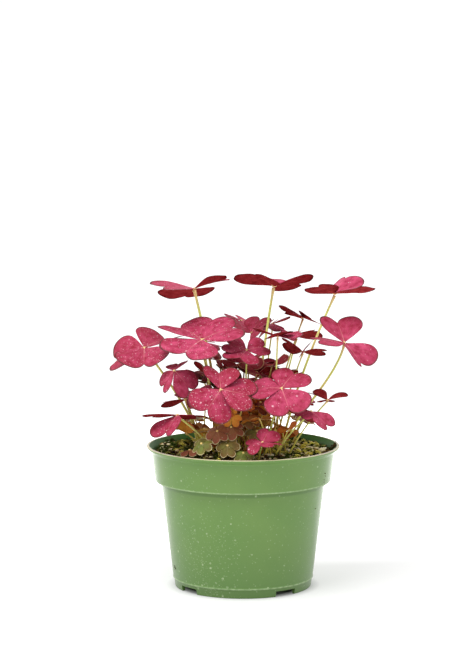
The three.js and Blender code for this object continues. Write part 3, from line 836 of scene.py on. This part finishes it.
class Blades:
    """Corners, faces, finishes and numbers of the leaflets, hubs and stalks of one piece."""

    def __init__(self, seed):
        self.draw = random.Random(seed)
        self.corners, self.faces, self.finishes = [], [], []
        self.place, self.tone, self.along, self.dust = [], [], [], []

    def add(self, corners, faces, finish_index, along):
        start = len(self.corners)
        self.corners += [tuple(corner) for corner in corners]
        self.faces += [tuple(start + k for k in face) for face in faces]
        self.finishes += [finish_index] * len(faces)
        self.place += [(0, 0, 0)] * len(corners)
        self.tone += [0] * len(corners)
        self.dust += [0] * len(corners)
        self.along += along

    def add_leaflet(self, hub, length, axes, fold, tone, dust, steps, rings, narrow):
        """A blade of rings that grow from its foot to its rim, folded along its midrib and waved."""
        along, across, up = axes
        phase = self.draw.uniform(0, 2 * math.pi)
        wave = self.draw.uniform(0.008, 0.018)
        outline = leaflet_outline(steps)
        columns = len(outline)
        start = len(self.corners)
        upper, lower = [], []
        for ring in range(rings + 1):
            share = first_ring + (1 - first_ring) * (ring / rings) ** 0.8
            for column, (u_rim, v_rim) in enumerate(outline):
                sidewards = abs(2 * column / (columns - 1) - 1)
                bulge = 1 + rim_bulge * math.sin(math.pi * share) * sidewards**4
                u, v = share * u_rim * bulge * narrow, share * v_rim
                ridge = math.hypot(u, fold_softness) - fold_softness
                w = -math.tan(math.radians(fold)) * ridge - tip_curl * v * v / 2
                w += wave * share * share * math.sin(6 * u + 4 * v + phase)
                w += 0.5 * wave * share**3 * math.sin(15 * u + phase)
                middle = hub + length * (u * across + v * along + w * up)
                thick = blade_half_thickness * (1 - rim_thinning * share**4)
                upper.append(middle + up * thick)
                lower.append(middle - up * thick)
                self.place.append((u, v, share))
        self.place += self.place[start:]
        self.corners += [tuple(point) for point in upper + lower]
        self.tone += [tone + self.draw.uniform(-0.1, 0.1)] * (2 * len(upper))
        self.dust += [dust * self.draw.uniform(0.6, 1.3)] * (2 * len(upper))
        self.along += [1] * (2 * len(upper))
        under = start + len(upper)
        for ring in range(rings):
            for column in range(columns - 1):
                a = ring * columns + column
                quad = (a, a + columns, a + columns + 1, a + 1)
                self.faces.append(tuple(start + k for k in reversed(quad)))
                self.faces.append(tuple(under + k for k in quad))
                self.finishes += [0, 1]
        loop = list(range(columns))
        loop += [(ring + 1) * columns - 1 for ring in range(1, rings + 1)]
        loop += [rings * columns + column for column in reversed(range(columns - 1))]
        loop += [ring * columns for ring in reversed(range(1, rings))]
        for a, b in zip(loop, loop[1:] + loop[:1]):
            self.faces.append((start + a, start + b, under + b, under + a))
            self.finishes.append(0)

    def add_leaf(self, hub, length, leaflets, tone, dust, tip=Quaternion(), steps=18, rings=14, narrow=1):
        """A whole leaf: its leaflets, the short pale stalk of each, and the hub that they meet at."""
        hub = Vector(hub)
        last = len(stub_radii) - 1
        for azimuth, rise, roll, fold, *share in leaflets:
            reach = length * (share[0] if share else 1)
            axes = [tip @ axis for axis in leaflet_axes(azimuth, rise, roll)]
            self.add_leaflet(hub, reach, axes, fold, tone, dust, steps, rings, narrow)
            foot = hub - stub_drop * axes[2]
            points = [foot + axes[0] * stub_share * reach * k / last for k in range(last + 1)]
            corners, faces, _ = tube(points, stub_radii, stub_sides)
            self.add(corners, faces, 2, [1] * len(corners))
        ball = [hub + hub_radius * corner for corner in stone_corners]
        self.add(ball, stone_faces, 2, [1] * len(ball))

    def finished(self, name, finishes):
        numbers = {"blade_place": self.place, "tone": self.tone, "along": self.along, "dust": self.dust}
        return piece(name, self.corners, self.faces, finishes, self.finishes, numbers)


def vein_group():
    """Veins that fan out from the hub, the midrib and the margin, from a blade's own places."""
    outputs = {"Veins": "Float", "Midrib": "Float", "Rim": "Float", "Margin": "Float"}
    tree = empty_group("leaf_veins", {}, outputs)
    place = node(tree, "ShaderNodeAttribute", attribute_name="blade_place").outputs["Vector"]
    part = node(tree, "ShaderNodeSeparateXYZ", {0: place}).outputs
    wander = cloud(tree, 5.0, 2.0, place)
    angle = maths(tree, "ARCTAN2", part["X"], part["Y"])
    turns = maths(tree, "MULTIPLY", maths(tree, "MULTIPLY_ADD", wander, 0.25, angle), 4.2)
    width = maths(tree, "MULTIPLY", maths(tree, "PINGPONG", turns, 0.5), part["Z"])
    ends = tree.nodes.new("NodeGroupOutput").inputs
    tree.links.new(ramp(tree, width, 0.0, 0.05, 1.0, 0.0), ends["Veins"])
    rib = ramp(tree, maths(tree, "ABSOLUTE", part["X"]), 0.004, 0.02, 1.0, 0.0)
    fading = ramp(tree, part["Z"], 0.2, 0.95, 1.0, 0.15)
    tree.links.new(maths(tree, "MULTIPLY", rib, fading), ends["Midrib"])
    tree.links.new(ramp(tree, part["Z"], 0.945, 0.975), ends["Margin"])
    tree.links.new(ramp(tree, part["Z"], 0.55, 1.0), ends["Rim"])
    return tree


leaf_veins = vein_group()


def blade_finish(name, first, second, deep, vein, margin, shares, roughness, gloss, speck=None):
    """Leaf skin: mottled colour, veins, margin and dried specks; shares are how strongly each shows."""
    material, tree, surface = finish(name, {"Specular IOR Level": gloss, "Roughness": roughness})
    skin = mottled(tree, first, second, 260.0, 1.0)
    lines = use(tree, leaf_veins, {})
    blotches = ramp(tree, cloud(tree, 120.0, 5.0), 0.5, 0.72, 0.0, 0.45)
    stained = maths(tree, "ADD", blotches, maths(tree, "MULTIPLY", lines["Rim"], 0.25))
    stained = maths(tree, "ADD", own_number(tree, "tone"), stained)
    skin = between(tree, ramp(tree, stained, 0.0, 1.0), skin, deep)
    for label, colour in (("Veins", vein), ("Midrib", vein), ("Margin", margin)):
        skin = between(tree, maths(tree, "MULTIPLY", lines[label], shares[label]), skin, colour)
    if speck:
        dust = own_number(tree, "dust")
        fine = specked(tree, 900.0, maths(tree, "MULTIPLY", dust, 0.8), 0.42)
        drops = specked(tree, 360.0, maths(tree, "MULTIPLY", dust, 0.3), 0.3)
        both = maths(tree, "MAXIMUM", maths(tree, "MULTIPLY", fine, 0.7), drops)
        skin = between(tree, maths(tree, "MULTIPLY", both, 0.85), skin, speck)
    tree.links.new(skin, surface.inputs["Base Color"])
    relief = maths(tree, "MULTIPLY_ADD", lines["Veins"], -0.5, lines["Midrib"])
    roughened(tree, surface, relief, 0.25, 0.3)
    return material


purple_top = blade_finish(
    "purple_leaf_top",
    first=(0.33, 0.022, 0.06, 1),
    second=(0.64, 0.085, 0.19, 1),
    deep=(0.26, 0.012, 0.02, 1),
    vein=(0.85, 0.4, 0.36, 1),
    margin=(0.1, 0.045, 0.035, 1),
    shares={"Veins": 0.1, "Midrib": 0.4, "Margin": 0.7},
    roughness=0.6,
    gloss=0.08,
    speck=(0.97, 0.72, 0.78, 1),
)
red_underside = blade_finish(
    "red_leaf_underside",
    first=(0.22, 0.016, 0.018, 1),
    second=(0.4, 0.044, 0.05, 1),
    deep=(0.14, 0.004, 0.005, 1),
    vein=(0.55, 0.08, 0.05, 1),
    margin=(0.07, 0.006, 0.007, 1),
    shares={"Veins": 0.15, "Midrib": 0.5, "Margin": 0.6},
    roughness=0.6,
    gloss=0.0,
)

# How deep a leaf's red is, and how thickly dried specks lie on it, where it differs from most
usual_tone, usual_dust = 0.05, 0.4
leaf_tones = {
    1: 0.1, 3: -0.35, 4: 0.25, 6: 0.1, 7: 0.3, 8: 0.12, 9: 0.15, 10: 0.1, 13: 0.1,
    14: 0.15, 15: 0.1, 16: 0.35, 17: 0.2, 18: 0.1, 22: 0.5, 23: 0.3, 25: 0.4,
}
leaf_dust = {1: 0.3, 2: 0.1, 3: 0.3, 4: 0.9, 5: 0.8, 7: 1.5, 8: 0.5, 9: 0.6, 10: 0.1, 14: 0.8, 23: 0.8}
for number, (hub, root, length, leaflets, *_) in enumerate(full_leaves, 1):
    leaf = Blades(100 + number)
    tone, dust = leaf_tones.get(number, usual_tone), leaf_dust.get(number, usual_dust)
    leaf.add_leaf(hub, length, leaflets, tone, dust)
    blades = leaf.finished(f"leaf_{number:02d}", [purple_top, red_underside, stalk_green])
    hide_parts(f"leaflets_{number:02d}")


# Young leaves: tufts of small leaves low over the soil, olive and bronze, with a pale margin painted
# on as a highlight along the rim of each upper face; each on a thin ochre stalk from the tuft's root.

# Each row: a root (x, y) and then its leaves, each with its hub (x, y, z), leaflet length, azimuth,
# rise and outward lean in degrees, and a tone from olive at 0 to bronze at 1.
young_tufts = [
    ((-25, -30), ((-24, -46, 92), 6.5, 225, -8, 40, 0.1), ((-31, -36, 86.5), 6.5, 200, -5, 5, 0.9),
     ((-21, -22, 94), 8, 150, 5, -25, 0.2)),
    ((-14, -34), ((-9, -44, 90.5), 7, 265, -8, 45, 0.3), ((-15, -38, 98), 7.5, 280, -8, 40, 0.85),
     ((-7, -36, 100), 8, 300, -10, 35, 0.8)),
    ((2, -28), ((0, -46, 86.5), 6.5, 250, -8, 25, 0.0), ((8, -32, 97), 7, 270, -10, 25, 0.3),
     ((3, -25, 103), 7, 250, -10, 20, 0.6), ((-4, -18, 108), 7, 200, 10, -20, 0.9),
     ((11, -13, 108), 7.5, 100, 10, -25, 0.6)),
    ((-24, 26), ((-30, 34, 96), 9, 90, -10, 20, 0.4), ((-38, 12, 95), 8, 175, -10, 20, 0.6),
     ((-21, 4.5, 121), 8.5, 150, 10, -30, 0.2)),
    ((30, 14), ((36, 22, 98), 9, 30, -10, 20, 0.3), ((37, 6, 100), 8, 330, -5, 15, 0.7)),
]
foot_spacing, young_stalk_radius, young_stalk_steps, young_stalk_sides = 0.25, 0.45, 16, 8
young_fold, young_narrow, young_dust = 24, 0.88, 0.3

olive_top = blade_finish(
    "olive_leaf_top",
    first=(0.06, 0.09, 0.012, 1),
    second=(0.16, 0.22, 0.035, 1),
    deep=(0.27, 0.075, 0.04, 1),
    vein=(0.5, 0.42, 0.16, 1),
    # The pale margin is a painted highlight along the rim
    margin=(0.72, 0.62, 0.34, 1),
    shares={"Veins": 0.2, "Midrib": 0.4, "Margin": 0.9},
    roughness=0.55,
    gloss=0.2,
    speck=(0.7, 0.62, 0.5, 1),
)
bronze_underside = blade_finish(
    "bronze_leaf_underside",
    first=(0.62, 0.24, 0.02, 1),
    second=(0.8, 0.46, 0.06, 1),
    deep=(0.5, 0.1, 0.02, 1),
    vein=(0.7, 0.4, 0.07, 1),
    margin=(0.3, 0.15, 0.04, 1),
    shares={"Veins": 0.15, "Midrib": 0.6, "Margin": 0.4},
    roughness=0.5,
    gloss=0.1,
)
stalk_ochre = stalk_finish(
    "stalk_ochre", (0.75, 0.62, 0.1, 1), (0.9, 0.78, 0.2, 1), (0.6, 0.46, 0.06, 1), (0.85, 0.6, 0.2, 1)
)


def add_young_leaf(tuft, foot, hub, length, turn, rise, lean, tone, radius, steps, rings):
    """A young leaf tipped outwards by its lean, with its stalk."""
    level = Vector((-hub[1], hub[0], 0)).normalized()
    tip = Quaternion(level, math.radians(lean))
    leaflets = [(turn + 120 * step, rise, 0, young_fold) for step in range(3)]
    tuft.add_leaf(hub, length, leaflets, tone, young_dust, tip, steps, rings, young_narrow)
    route = stalk_route(foot, hub, young_stalk_steps)
    corners, faces, along = tube(route, [radius] * len(route), young_stalk_sides)
    tuft.add(corners, faces, 2, along)


for number, (root, *young) in enumerate(young_tufts, 1):
    tuft = Blades(200 + number)
    for k, (hub, length, turn, rise, lean, tone) in enumerate(young):
        foot = (root[0] + foot_spacing * (k - (len(young) - 1) / 2), root[1])
        add_young_leaf(tuft, foot, hub, length, turn, rise, lean, tone, young_stalk_radius, 12, 9)
    blades = tuft.finished(f"young_tuft_{number}", [olive_top, bronze_underside, stalk_ochre])
    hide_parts(f"young_leaves_{number}")


# Crown: small deep red leaves stand crowded between the long stalks, and under them sprouts, the
# youngest leaves, bronze and still half folded, on thread-thin ochre stalks.
crown_top = blade_finish(
    "crown_leaf_top",
    first=(0.2, 0.012, 0.03, 1),
    second=(0.36, 0.03, 0.06, 1),
    deep=(0.16, 0.05, 0.015, 1),
    vein=(0.6, 0.25, 0.15, 1),
    # The pale margin is a painted highlight along the rim
    margin=(0.62, 0.36, 0.2, 1),
    shares={"Veins": 0.15, "Midrib": 0.5, "Margin": 0.75},
    roughness=0.6,
    gloss=0.08,
    speck=(0.9, 0.6, 0.6, 1),
)
# Each crown leaf: root (x, y), hub (x, y, z), leaflet length, azimuth, rise, lean and tone
crown_leaves = [
    ((-14, 2), (-24, 6, 124), 10, 200, 15, -20, 0.2),
    ((-16, -4), (-20, -6, 126), 11, 215, 15, -45, 0.6),
    ((-8, -6), (-8, -22, 112), 10, 160, 0, 30, 0.7),
    ((8, -8), (10, -20, 112), 9.5, 260, 5, 30, 0.6),
    ((18, 0), (24, -4, 124), 10, 180, 20, -30, 0.5),
    ((-10, 4), (-14, 8, 133), 11, 250, 20, -30, 0.1),
    ((-6, 0), (-7, 2, 124), 11, 210, 25, -35, 0.3),
    ((-2, 4), (1, 10, 131), 12, 240, 30, -30, 0.0),
    ((4, 2), (8, 0, 127), 11, 280, 10, 30, 0.1),
    ((8, 4), (17, 4, 130), 11, 255, 25, -25, 0.2),
    ((10, -2), (14, -8, 117), 9.5, 230, 20, 25, 0.4),
    ((-12, -8), (-17, -16, 117), 10, 290, 15, 25, 0.3),
    ((0, -6), (1, -16, 118), 10, 270, 10, 40, 0.5),
    ((14, 6), (26, 8, 122), 10, 200, 20, -25, 0.3),
]
crown = Blades(310)
for root, hub, length, turn, rise, lean, tone in crown_leaves:
    add_young_leaf(crown, root, hub, length, turn, rise, lean, tone, young_stalk_radius, 14, 10)
crown.finished("crown_leaves", [crown_top, red_underside, stalk_ochre])

ochre_top = blade_finish(
    "sprout_top",
    first=(0.5, 0.3, 0.04, 1),
    second=(0.75, 0.52, 0.1, 1),
    deep=(0.55, 0.2, 0.06, 1),
    vein=(0.6, 0.42, 0.12, 1),
    # The pale margin is a painted highlight along the rim
    margin=(0.72, 0.58, 0.25, 1),
    shares={"Veins": 0.2, "Midrib": 0.4, "Margin": 0.7},
    roughness=0.55,
    gloss=0.15,
    speck=(0.8, 0.7, 0.5, 1),
)
# The sprouts that show, in rows laid out like the crown leaves'
shown_sprouts = [
    ((-23, -10), (-33, -11, 92), 10.5, 250, 60, -10, 0.6),
    ((-18, -12), (-23.5, -13, 93), 9, 222, 42, -10, 0.8),
    ((-3, -18), (-2, -22, 103), 8.5, 270, 40, -15, 0.8),
    ((8, -16), (11, -20, 105), 9, 255, 45, -10, 0.5),
    ((2, -20), (2.5, -24, 99.5), 8.5, 285, 35, -10, 0.4),
    ((9, -12), (12, -14, 109), 8, 270, 50, 0, 1.0),
    ((18, -4), (25, -8, 89), 8, 275, 48, 0, 0.9),
]
sprout_count, sprout_stalk_radius = 76, 0.4
sprouts = Blades(300)
for root, hub, length, turn, rise, lean, tone in shown_sprouts:
    add_young_leaf(sprouts, root, hub, length, turn, rise, lean, tone, young_stalk_radius, 12, 9)
draw = sprouts.draw
for _ in range(sprout_count):
    root = (draw.gauss(3, 10), draw.gauss(-14, 8))
    height = draw.uniform(88, 116)
    hub = (root[0] * 1.1 + draw.gauss(0, 3), root[1] * 1.1 + draw.gauss(0, 2.5), height)
    length, lean, turn = draw.uniform(4, 7.5), draw.uniform(-75, 60), draw.uniform(0, 120)
    rise, tone = draw.uniform(-20, 40), draw.random()
    add_young_leaf(sprouts, root, hub, length, turn, rise, lean, tone, sprout_stalk_radius, 8, 6)
sprouts.finished("crown_sprouts", [ochre_top, bronze_underside, stalk_ochre])
